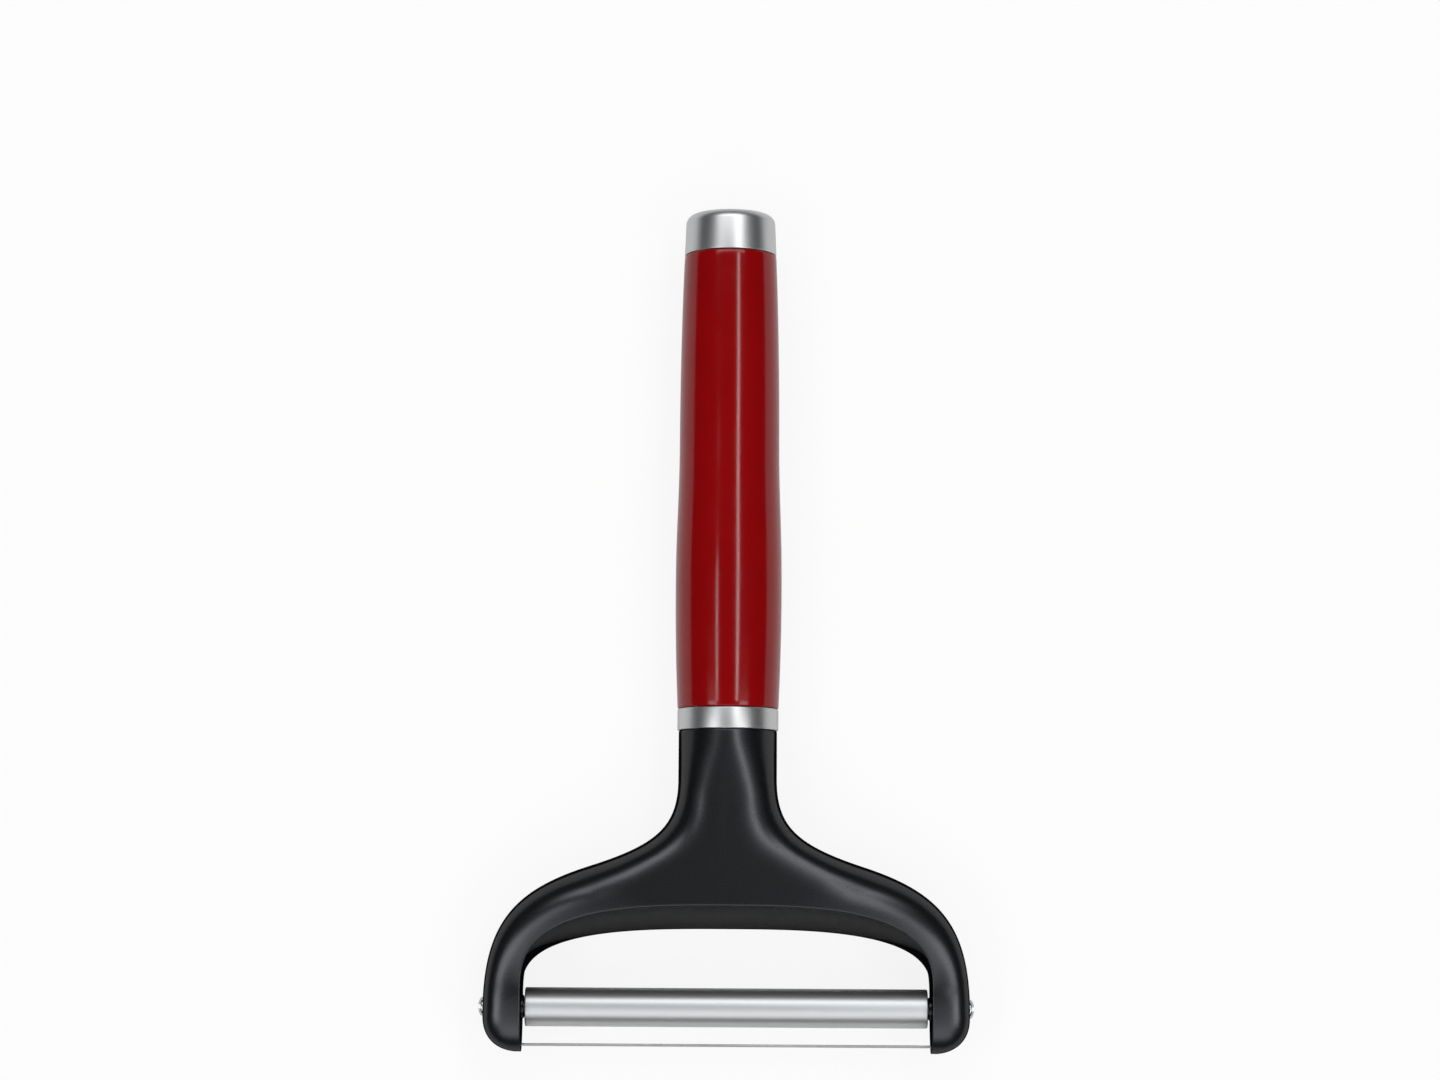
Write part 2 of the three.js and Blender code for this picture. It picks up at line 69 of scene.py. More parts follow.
ALONG_X = Vector((1, 0, 0))
ALONG_Y = Vector((0, 1, 0))
UP = Vector((0, 0, 1))
# Distance at which points are welded, and how far cutting shapes reach past a face.
WELD, OVERLAP = 1e-6, 0.001
# Power of the leg tips' curve, which the slits and the wire follow.
TIP_POWER = 2.3


def linear(code):
    """Linear colour of an sRGB hex value."""
    shares = [int(code[i : i + 2], 16) / 255 for i in (1, 3, 5)]
    return tuple(c / 12.92 if c <= 0.04045 else ((c + 0.055) / 1.055) ** 2.4 for c in shares)


def length(name, description, metres):
    """Property for a size in metres."""
    return bpy.props.FloatProperty(
        name=name, description=description, default=metres, min=0, precision=5, unit="LENGTH"
    )


def slant(name, description, degrees):
    """Property for an angle."""
    return bpy.props.FloatProperty(
        name=name, description=description, default=math.radians(degrees), subtype="ANGLE"
    )


def share(name, description, value):
    """Property for a plain number."""
    return bpy.props.FloatProperty(name=name, description=description, default=value, precision=3)


def colour(name, description, code):
    """Property for a colour given as an sRGB hex value."""
    return bpy.props.FloatVectorProperty(
        name=name, description=description, default=linear(code), size=3, min=0, max=1, subtype="COLOR"
    )


class HandleSizes(bpy.types.PropertyGroup):
    """Sizes of grip, ferrule and end cap."""

    foot_radius: length("Foot radius", "Grip radius at the ferrule", 0.01115)
    belly_radius: length("Belly radius", "Widest grip radius", (GRIP_HIGH.x - GRIP_LOW.x) / 2)
    belly_height: length("Belly height", "Belly's distance from the foot", 0.0264)
    waist_radius: length("Waist radius", "Grip radius above the belly", 0.01108)
    waist_height: length("Waist height", "Waist's distance from the foot", 0.061)
    end_flare: length("End flare", "How far the side's curve swells before the cap", 0.00045)
    grip_edge: length("Grip edge", "Rounding of the grip's two ends", 0.00035)
    grip_wall: length("Grip wall", "Wall round the bore for the tang", 0.0032)
    bore_edge: length("Bore edge", "Rounding of the bore's end", 0.001)
    spigot_edge: length("Spigot edge", "Rounding of the spigot in the cap", 0.0015)
    cap_radius: length("Cap radius", "Cap radius at the grip", (CAP_HIGH.x - CAP_LOW.x) / 2)
    cap_taper: length("Cap taper", "How much the cap narrows to its end", 0.00035)
    cap_edge: length("Cap edge", "Rounding of the cap's end", 0.0021)
    sheet: length("Sheet", "Wall of cap and ferrule", 0.0007)
    lip: length("Lip", "Rounding of the sheet's edges", 0.00022)


class HeadSizes(bpy.types.PropertyGroup):
    """Sizes of the forked head, its heights taken from the leg tips."""

    neck_radius: length("Neck radius", "Round neck under the ferrule", 0.01085)
    neck_length: length("Neck length", "Straight part of the neck", 0.0108)
    neck_edge: length("Neck edge", "Rounding of the neck's top", 0.0003)
    swell_length: length("Swell length", "Over which the neck grows to the head's depth", 0.029)
    flatten_length: length("Flatten length", "Over which the round neck turns flat in front", 0.0165)
    shoulder_reach: length("Shoulder reach", "Shoulder's distance from the middle", 0.0301)
    shoulder_rise: length("Shoulder rise", "Shoulder's height", 0.0405)
    shoulder_slope: share("Shoulder slope", "Fall of the shoulder per unit of reach", 0.32)
    half_span: length("Half span", "Leg's inner face from the middle", 0.04485)
    leg_width: length("Leg width", "Leg seen from the front", 0.00845)
    leg_depth: length("Leg depth", "Leg seen from the side", 0.014)
    tip_length: length("Tip length", "Rounded end of a leg", 0.0079)
    leg_straight: length("Leg straight", "Straight outer side above a leg's tip", 0.0009)
    nose_length: length("Nose length", "Over which a leg thins to its tip", 0.014)
    spring_rise: length("Spring rise", "Height where the opening's arch starts", 0.0123)
    ridge_rise: length("Ridge rise", "Height of the arch at mid depth", 0.0267)
    edge_rise: length("Edge rise", "How far the front edge lies above the ridge", 0.0051)
    rolled_edge: length("Rolled edge", "Reach of the rounding from the outline", 0.012)
    neck_power: share("Neck power", "Fullness of the neck's section where 2 is an ellipse", 3.4)
    arm_power: share("Arm power", "Fullness of an arm's section", 2.7)
    leg_power: share("Leg power", "Fullness of a leg's section", 3.4)
    crisp_edge: length("Crisp edge", "Rounding of the opening's edges", 0.0003)
    boss_radius: length("Boss radius", "Round pad that the roller turns against", 0.0025)
    boss_height: length("Boss height", "Pad's height on the leg", 0.0006)
    boss_edge: length("Boss edge", "Rounding of the pad", 0.00015)


class RollerSizes(bpy.types.PropertyGroup):
    """Sizes of roller, screws and wire."""

    tube_wall: length("Tube wall", "Wall of the roller tube", 0.0008)
    tube_edge: length("Tube edge", "Rounding of the tube's ends", 0.0003)
    plug_edge: length("Plug edge", "Rounding of the plugs", 0.0002)
    play: length("Play", "Clearance between fitted faces", 0.0001)
    pin_radius: length("Pin radius", "Plain pin that the plug turns on", 0.0011)
    pin_edge: length("Pin edge", "Rounding of the pin's end", 0.0003)
    head_height: length("Head height", "Height of a screw's domed head", 0.00155)
    head_edge: length("Head edge", "Rounding under a screw's head", 0.0001)
    slot_width: length("Slot width", "Driver slot in a screw's head", 0.0009)
    slot_depth: length("Slot depth", "Depth of the driver slot", 0.0007)
    wire_radius: length("Wire radius", "Half the wire's thickness", 0.0003)
    wire_play: length("Wire play", "Clearance of the wire in its slit", 0.00012)
    wire_rise: length("Wire rise", "Wire's middle above the leg tips", 0.0015)
    hook_gap: length("Hook gap", "From the slit's end to the screw's recess", 0.0009)


class Finishes(bpy.types.PropertyGroup):
    """Colours of the materials."""

    red: colour("Red", "Grip", "#860609")
    black: colour("Black", "Head and roller plugs", "#0b0c0f")
    steel: colour("Steel", "Cap and ferrule", "#c6c7c9")
    ground_steel: colour("Ground steel", "Roller tube", "#c6c8ca")
    screw_steel: colour("Screw steel", "Pivot screws", "#b9babc")
    wire_steel: colour("Wire steel", "Cutting wire", "#a9aaac")
    floor: colour("Floor", "Paper under the tool", "#ededec")


class StageValues(bpy.types.PropertyGroup):
    """Camera and light."""

    elevation: slant("Elevation", "Camera's angle above the floor", 83.5)
    roll: slant("Roll", "Camera's turn about its own axis", 0.36)
    distance: length("Distance", "From the camera to its aim", 0.8)
    lens: bpy.props.FloatProperty(name="Lens", description="Focal length", default=90, unit="CAMERA")
    film: bpy.props.FloatProperty(name="Film", description="Film width", default=36, unit="CAMERA")
    aim: bpy.props.FloatVectorProperty(
        name="Aim",
        description="Point in the middle of the picture",
        default=(-0.002, 0.0198, 0.01176),
        unit="LENGTH",
    )
    floor_size: length("Floor size", "Side of the paper floor", 8)
    lamp_height: length("Lamp height", "Lamps above the floor", 1.0)
    sky: share("Sky", "Level of the even light from all round", 0.02)
    side: share("Side", "Level of the soft lamps beside the lane", 4.2)
    over: share("Over", "Level of the soft lamp over the head", 1.0)
    back: share("Back", "Level of the soft lamp behind the cap", 3.9)
    front: share("Front", "Level of the front lamp", 1.9)
    strip_right: share("Right strip", "Level of the right strip lamp", 8.8)
    strip_left: share("Left strip", "Level of the left strip lamp", 7.48)
    paper_white: share("Paper white", "Share of the floor that is seen as plain white", 0.87)


# Curves


def quarter(angle, power):
    """Width and height shares of a rounded quarter at an angle."""
    return max(math.cos(angle), 0) ** (2 / power), max(math.sin(angle), 0) ** (2 / power)


def lerp(start, end, part):
    """Value between start and end."""
    return start + (end - start) * part


def ease(start, end, part):
    """Value between start and end with a slow start and end."""
    part = min(max(part, 0), 1)
    return lerp(start, end, part * part * (3 - 2 * part))


class Track:
    """Plane curve that is followed by its length."""

    def __init__(self, points):
        self.points = points
        self.runs = [0.0]
        for before, after in zip(points, points[1:]):
            self.runs.append(self.runs[-1] + (after - before).length)

    def at_run(self, run):
        """Point at a distance from the start."""
        run = min(max(run, 0), self.runs[-1])
        step = min(max(bisect.bisect_right(self.runs, run) - 1, 0), len(self.runs) - 2)
        part = (run - self.runs[step]) / max(self.runs[step + 1] - self.runs[step], 1e-12)
        return self.points[step].lerp(self.points[step + 1], part)

    def at(self, part):
        """Point at a share of the length."""
        return self.at_run(part * self.runs[-1])

    def left_of(self, part):
        """Unit vector to the left of the curve at a share of its length."""
        nudge = 0.002
        ahead = self.at(min(part + nudge, 1)) - self.at(max(part - nudge, 0))
        return Vector((-ahead.y, ahead.x)).normalized()


# Modelling steps


def draw_line(name, points):
    """Start a piece from a plane merged to one point, and extrude that point along a line."""
    bpy.ops.object.select_all(action="DESELECT")
    bpy.ops.mesh.primitive_plane_add(size=0.001, calc_uvs=False, location=(0, 0, 0))
    piece = bpy.context.object
    piece.name = piece.data.name = name
    bpy.ops.object.mode_set(mode="EDIT")
    bpy.ops.mesh.merge(type="CENTER")
    bpy.ops.transform.translate(value=points[0])
    for before, after in zip(points, points[1:]):
        bpy.ops.mesh.extrude_region_move(TRANSFORM_OT_translate={"value": after - before})
    return piece


def close_up():
    """Weld the edited mesh and turn its faces outwards."""
    bpy.ops.mesh.select_all(action="SELECT")
    bpy.ops.mesh.remove_doubles(threshold=WELD)
    bpy.ops.mesh.normals_make_consistent(inside=False)
    bpy.ops.object.mode_set(mode="OBJECT")


def bend(start, corner, end, steps):
    """Points of a rounding from start to end under a corner."""
    # Handles at this share of the way draw nearly a circle.
    reach = 0.5523
    return interpolate_bezier(start, start.lerp(corner, reach), end.lerp(corner, reach), end, steps)


def soft_outline(corners, steps=7):
    """Radius and height pairs of an outline whose corners (radius, height, rounding) are rounded."""
    points = [Vector(corner[:2]) for corner in corners]
    pairs = [points[0]]
    for before, (radius, height, rounding), after in zip(points, corners[1:-1], points[2:]):
        corner = Vector((radius, height))
        if rounding:
            start = corner + (before - corner).normalized() * rounding
            end = corner + (after - corner).normalized() * rounding
            pairs += bend(start, corner, end, steps)
        else:
            pairs.append(corner)
    return pairs + [points[-1]]


def turn(name, pairs, centre, axis, steps):
    """Draw an outline of radius and height pairs and spin it about an axis."""
    piece = draw_line(name, [centre + axis * height + UP * radius for radius, height in pairs])
    bpy.ops.mesh.select_all(action="SELECT")
    bpy.ops.mesh.spin(steps=steps, angle=math.tau, center=centre, axis=axis)
    close_up()
    return piece


def loft(name, lines):
    """Draw the first line and extrude it from rib to rib, each point to its place on the next line."""
    piece = draw_line(name, lines[0])
    mesh = bmesh.from_edit_mesh(piece.data)
    place = mesh.verts.layers.int.new("rib_place")
    for vert in mesh.verts:
        vert[place] = min(range(len(lines[0])), key=lambda i: (lines[0][i] - vert.co).length)
    bmesh.update_edit_mesh(piece.data)
    bpy.ops.mesh.select_all(action="SELECT")
    for line in lines[1:]:
        bpy.ops.mesh.extrude_region_move()
        mesh = bmesh.from_edit_mesh(piece.data)
        place = mesh.verts.layers.int["rib_place"]
        for vert in mesh.verts:
            if vert.select:
                vert.co = line[vert[place]]
        bmesh.update_edit_mesh(piece.data)
    bpy.ops.object.mode_set(mode="OBJECT")
    piece.data.attributes.remove(piece.data.attributes["rib_place"])
    return piece


def select_only(piece, *others):
    """Select a piece and perhaps others, with the first one active."""
    bpy.ops.object.select_all(action="DESELECT")
    for each in (piece, *others):
        each.select_set(True)
    bpy.context.view_layer.objects.active = piece


def apply_modifier(piece, kind, **settings):
    """Add a modifier with its settings and apply it."""
    select_only(piece)
    bpy.ops.object.modifier_add(type=kind)
    modifier = piece.modifiers[-1]
    for name, value in settings.items():
        setattr(modifier, name, value)
    bpy.ops.object.modifier_apply(modifier=modifier.name)


def combine(piece, tool, operation):
    """Join a tool to a piece or cut it out, and delete the tool."""
    apply_modifier(piece, "BOOLEAN", operation=operation, solver="EXACT", object=tool)
    bpy.data.objects.remove(tool)


def mirrored_copy(piece, name):
    """Copy of a piece on the other leg, with its own mesh."""
    select_only(piece)
    bpy.ops.object.duplicate(linked=False)
    copy = bpy.context.object
    copy.name = copy.data.name = name
    bpy.ops.object.mode_set(mode="EDIT")
    bpy.ops.mesh.select_all(action="SELECT")
    bpy.ops.transform.resize(value=(-1, 1, 1), center_override=(0, 0, 0))
    close_up()
    return copy


def put_in_place(piece, node, body, material, angle=32):
    """Check that a piece is closed, finish its surface and let it stand for its node."""
    mesh = bmesh.new()
    mesh.from_mesh(piece.data)
    loose = sum(not edge.is_manifold for edge in mesh.edges)
    mesh.free()
    if loose:
        raise RuntimeError(f"{piece.name} has {loose} open edges")
    select_only(piece)
    bpy.ops.object.shade_smooth_by_angle(angle=math.radians(angle))
    piece.data.materials.clear()
    piece.data.materials.append(material)
    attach(piece, body)
    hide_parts(node)


# Materials


def add_node(tree, kind, settings=None, links=None):
    """Add a node, give it its settings and link its inputs."""
    node = tree.nodes.new(kind)
    for name, value in (settings or {}).items():
        if isinstance(name, int) or name in node.inputs:
            node.inputs[name].default_value = value
        else:
            setattr(node, name, value)
    for name, socket in (links or {}).items():
        tree.links.new(socket, node.inputs[name])
    return node


def start_material(name, **values):
    """New material with its uniform values on the shader's own sockets."""
    material = bpy.data.materials.new(name)
    material.use_nodes = True
    shader = material.node_tree.nodes["Principled BSDF"]
    for socket, value in values.items():
        shader.inputs[socket.replace("_", " ")].default_value = value
    return material, material.node_tree, shader


def shade_of(rgb, factor):
    """Colour with its channels multiplied."""
    return (*(min(1, channel * factor) for channel in rgb), 1)


def noise(tree, at, size, detail, **settings):
    """Noise pattern whose blotches have a size in metres."""
    values = {"Scale": 1 / size, "Detail": detail, **settings}
    return add_node(tree, "ShaderNodeTexNoise", values, {"Vector": at}).outputs["Fac"]


def mottle(tree, socket, pattern, rgb, low, high, start=0.3, end=0.7):
    """Let a pattern vary a colour between two shares of its brightness."""
    ramp = add_node(tree, "ShaderNodeValToRGB", links={"Fac": pattern})
    first, last = ramp.color_ramp.elements
    first.position, last.position = start, end
    first.color, last.color = shade_of(rgb, low), shade_of(rgb, high)
    tree.links.new(ramp.outputs["Color"], socket)


def spread(tree, socket, pattern, low, high, start=0.3, end=0.7):
    """Let a pattern vary a shader's value between two ends."""
    values = {"From Min": start, "From Max": end, "To Min": low, "To Max": high}
    ranged = add_node(tree, "ShaderNodeMapRange", values, {"Value": pattern})
    tree.links.new(ranged.outputs["Result"], socket)


def emboss(tree, socket, pattern, strength, height):
    """Let a pattern raise the surface, by a height in metres at full strength."""
    bump = add_node(tree, "ShaderNodeBump", {"Strength": strength, "Distance": height}, {"Height": pattern})
    tree.links.new(bump.outputs["Normal"], socket)


def red_abs():
    """Gloss moulded ABS: deep even red under a mirror-like skin with faint orange peel and haze."""
    finish = bpy.context.scene.slicer_finishes
    # The moulded skin mirrors a little less than polished ABS.
    material, tree, shader = start_material("ABS, gloss moulded, red", IOR=1.54, Specular_IOR_Level=0.29)
    at = add_node(tree, "ShaderNodeTexCoord").outputs["Object"]
    cloud = noise(tree, at, 0.014, 3.0)
    mottle(tree, shader.inputs["Base Color"], cloud, finish.red, 0.94, 1.05)
    haze = noise(tree, at, 0.006, 6.0, Roughness=0.65)
    spread(tree, shader.inputs["Roughness"], haze, 0.12, 0.18, 0.35, 0.75)
    peel = noise(tree, at, 0.0016, 1.0)
    emboss(tree, shader.inputs["Normal"], peel, 0.05, 0.00005)
    return material


def black_nylon():
    """Satin moulded nylon: near black with a broad soft sheen over a fine eroded-mould grain."""
    finish = bpy.context.scene.slicer_finishes
    material, tree, shader = start_material(
        "Nylon, satin moulded, black", IOR=1.53, Specular_IOR_Level=0.4, Specular_Tint=(0.91, 0.93, 1, 1)
    )
    at = add_node(tree, "ShaderNodeTexCoord").outputs["Object"]
    cloud = noise(tree, at, 0.009, 4.0)
    mottle(tree, shader.inputs["Base Color"], cloud, finish.black, 0.85, 1.15)
    # The real grain is about 0.08 mm; it is drawn at 0.25 mm so that it shows.
    grain = noise(tree, at, 0.00025, 2.0)
    spread(tree, shader.inputs["Roughness"], grain, 0.27, 0.31)
    emboss(tree, shader.inputs["Normal"], grain, 0.06, 0.00002)
    # Seen at a slant, the grain's peaks hide the gloss between them.
    tilt = add_node(tree, "ShaderNodeLayerWeight", {"Blend": 0.5}).outputs["Facing"]
    spread(tree, shader.inputs["Specular IOR Level"], tilt, 0.58, 0.0, 0.1, 0.7)
    return material


def turned_steel(name, rgb, axis, through, line, low, high, relief):
    """Stainless steel finished while it turned: fine lines round its axis that streak the gloss.

    The axis goes through a point; line is the lines' spacing in metres, low and high are the ends of
    the roughness, and relief is the strength of the lines.
    """
    material, tree, shader = start_material(name, Metallic=1.0, Base_Color=(*rgb, 1), Anisotropic=0.3)
    at = add_node(tree, "ShaderNodeTexCoord").outputs["Object"]
    centred = add_node(tree, "ShaderNodeMapping", {"Location": [-each for each in through]}, {"Vector": at})
    parts = add_node(tree, "ShaderNodeSeparateXYZ", links={"Vector": centred.outputs["Vector"]})
    flat = add_node(
        tree, "ShaderNodeVectorMath", {"operation": "MULTIPLY", 1: [1 - abs(each) for each in axis]},
        {0: centred.outputs["Vector"]},
    )
    radius = add_node(tree, "ShaderNodeVectorMath", {"operation": "LENGTH"}, {0: flat.outputs["Vector"]})
    along = parts.outputs["X" if axis.x else "Y"]
    run = add_node(tree, "ShaderNodeMath", {"operation": "ADD"}, {0: along, 1: radius.outputs["Value"]})
    settings = {"noise_dimensions": "1D", "Scale": 1 / line, "Detail": 4.0, "Roughness": 0.7}
    lines = add_node(tree, "ShaderNodeTexNoise", settings, {"W": run.outputs["Value"]}).outputs["Fac"]
    spread(tree, shader.inputs["Roughness"], lines, low, high)
    emboss(tree, shader.inputs["Normal"], lines, relief, 0.00001)
    # Lines round the axis smear reflections along it.
    smear = add_node(tree, "ShaderNodeCombineXYZ", {"X": axis.x, "Y": axis.y, "Z": axis.z})
    tree.links.new(smear.outputs["Vector"], shader.inputs["Tangent"])
    return material


def drawn_wire():
    """Stainless spring wire, drawn: long faint die streaks along a bright thin round."""
    finish = bpy.context.scene.slicer_finishes
    material, tree, shader = start_material(
        "Stainless spring wire, drawn", Metallic=1.0, Base_Color=(*finish.wire_steel, 1)
    )
    at = add_node(tree, "ShaderNodeTexCoord").outputs["Object"]
    # The streaks are about 12 mm long and 0.12 mm wide.
    scale = (1 / 0.012, 1 / 0.00012, 1 / 0.00012)
    stretched = add_node(tree, "ShaderNodeMapping", {"Scale": scale}, {"Vector": at}).outputs["Vector"]
    streak = noise(tree, stretched, 1.0, 3.0)
    spread(tree, shader.inputs["Roughness"], streak, 0.2, 0.34)
    return material


# Pieces


class AddGrip(bpy.types.Operator):
    """Turn the red grip with its bore for the tang and its spigot for the cap"""

    bl_idname = "slicer.add_grip"
    bl_label = "Red Grip"
    # Handles of the side's curves, as shares of the way between their knots.
    foot_lean, foot_handle = 0.65, 1 / 3
    belly_below, belly_above = 0.68, 0.45
    waist_below, waist_above = 0.54, 0.34
    end_handle = 0.76
    curve_points = 22

    def execute(self, context):
        size, roller = context.scene.slicer_handle, context.scene.slicer_roller
        foot_y, top_y = GRIP_LOW.y, CAP_LOW.y - roller.play
        belly_y, waist_y = foot_y + size.belly_height, foot_y + size.waist_height
        foot, belly, waist, end = size.foot_radius, size.belly_radius, size.waist_radius, size.cap_radius
        rise, fall, rest = belly_y - foot_y, waist_y - belly_y, top_y - waist_y
        lean = lerp(foot, belly, self.foot_lean)
        swell = [
            (Vector((foot, foot_y)), Vector((lean, foot_y + rise * self.foot_handle))),
            (Vector((belly, foot_y + rise * self.belly_below)), Vector((belly, belly_y))),
            (Vector((belly, belly_y)), Vector((belly, belly_y + fall * self.belly_above))),
            (Vector((waist, belly_y + fall * self.waist_below)), Vector((waist, waist_y))),
            (Vector((waist, waist_y)), Vector((waist, waist_y + rest * self.waist_above))),
            (Vector((end + size.end_flare, waist_y + rest * self.end_handle)), Vector((end, top_y))),
        ]
        side = []
        for (knot, handle), (far_handle, far_knot) in zip(swell[::2], swell[1::2]):
            side += interpolate_bezier(knot, handle, far_handle, far_knot, self.curve_points)[1:]
        bore_mouth, bore_end = foot - size.grip_wall, end - size.grip_wall
        bore_y = top_y - size.grip_wall
        spigot = end - size.cap_taper - size.sheet - roller.play
        corners = [(0, bore_y, 0), (bore_end, bore_y, size.bore_edge), (bore_mouth, foot_y, size.grip_edge)]
        corners += [(foot, foot_y, size.grip_edge)]
        corners += [(point.x, point.y, 0) for point in side[:-1]]
        corners += [(end, top_y, size.grip_edge), (spigot, top_y, 0)]
        corners += [(spigot, GRIP_HIGH.y, size.spigot_edge), (0, GRIP_HIGH.y, 0)]
        grip = turn("red_grip", soft_outline(corners), HANDLE_AXIS, ALONG_Y, steps=160)
        put_in_place(grip, "handle_grip", "frame", red_abs())
        return {"FINISHED"}


class AddFittings(bpy.types.Operator):
    """Turn the drawn end cap and the ferrule"""

    bl_idname = "slicer.add_fittings"
    bl_label = "Steel Fittings"

    def execute(self, context):
        size, finish = context.scene.slicer_handle, context.scene.slicer_finishes
        polished = turned_steel(
            "Stainless steel, drawn and polished", finish.steel, ALONG_Y, HANDLE_AXIS,
            line=0.00022, low=0.38, high=0.41, relief=0.004,
        )
        outer, top = size.cap_radius, size.cap_radius - size.cap_taper
        inner = top - size.sheet
        low, high = CAP_LOW.y, CAP_HIGH.y
        cup = [(0, high - size.sheet, 0), (inner, high - size.sheet, size.cap_edge - size.sheet)]
        cup += [(inner, low, size.lip), (outer, low, size.lip), (top, high, size.cap_edge), (0, high, 0)]
        cap = turn("steel_end_cap", soft_outline(cup, steps=12), HANDLE_AXIS, ALONG_Y, steps=160)
        put_in_place(cap, "end_cap", "frame", polished)

        outer = (FERRULE_HIGH.x - FERRULE_LOW.x) / 2
        inner = outer - size.sheet
        low, high = FERRULE_LOW.y, FERRULE_HIGH.y
        middle = (low + high) / 2
        ring = [(inner, middle, 0), (inner, low, size.lip), (outer, low, size.lip)]
        ring += [(outer, high, size.lip), (inner, high, size.lip), (inner, middle, 0)]
        ferrule = turn("steel_ferrule", soft_outline(ring), HANDLE_AXIS, ALONG_Y, steps=160)
        put_in_place(ferrule, "ferrule", "frame", polished)
        return {"FINISHED"}


class Rib:
    """One cross line of the head's right half and its wall in the opening."""

    skin_steps, roll_samples, corner_steps = 34, 160, 5

    def __init__(self, outer, edge, depth, rounding, power, ridge=None, into=None, crisp=0.0):
        self.outer, self.edge, self.depth = outer, edge, depth
        self.rounding, self.power = rounding, power
        self.ridge, self.into = ridge, into
        self.crisp = min(crisp, depth / 4)

    def row_point(self, flat, z):
        """Point at a distance before or behind the head's middle plane."""
        return Vector((flat.x, flat.y, HANDLE_AXIS.z + z))

    def both_faces(self, front):
        """Line from the front over the middle to the back, from its front half."""
        back = [(flat, -z) for flat, z in reversed(front[:-1])]
        return [self.row_point(flat, z) for flat, z in front + back]

    def skin(self):
        """Line from the front edge over the rolled outline to the back edge."""
        inner = self.edge + self.into * self.crisp if self.into else self.edge
        reach = (inner - self.outer).length
        roll = min(self.rounding, reach)
        section = [Vector((0, self.depth))]
        for step in range(self.roll_samples + 1):
            width, height = quarter(math.pi / 2 * (1 - step / self.roll_samples), self.power)
            section.append(Vector((reach - roll * (1 - width), self.depth * height)))
        section = Track(section)
        front = []
        for step in range(self.skin_steps + 1):
            point = section.at(step / self.skin_steps)
            front.append((inner.lerp(self.outer, point.x / reach), point.y))
        return self.both_faces(front)

    def wall(self):
        """Line from the front edge over the ridge to the back edge."""
        top = Vector((*self.edge, self.depth))
        ridge = Vector((*self.ridge, 0))
        down = (ridge - top).normalized()
        start = Vector((*(self.edge + self.into * self.crisp), self.depth))
        front = bend(start, top, top + down * self.crisp, self.corner_steps)
        soft = 2 * self.crisp
        near = ridge - down * soft
        front += [front[-1].lerp(near, 1 / 2), near]
        front.append((near + Vector((near.x, near.y, -near.z)) + 2 * ridge) / 4)
        return self.both_faces([(point.xy, point.z) for point in front])


class HookPlace:
    """Where the wire runs between the legs, and where its hook lies under a screw's head."""

    def __init__(self, roller):
        self.wire = Vector((0, YOKE_LOW.y + roller.wire_rise, HANDLE_AXIS.z))
        self.x = SCREW_HIGH.x - roller.head_height - roller.play - roller.wire_radius
        self.radius = roller.pin_radius + roller.play + roller.wire_radius
        head = (SCREW_HIGH.y - SCREW_LOW.y) / 2
        self.recess = max(head, self.radius + roller.wire_radius) + roller.play
        self.floor = self.x - roller.wire_radius - roller.play


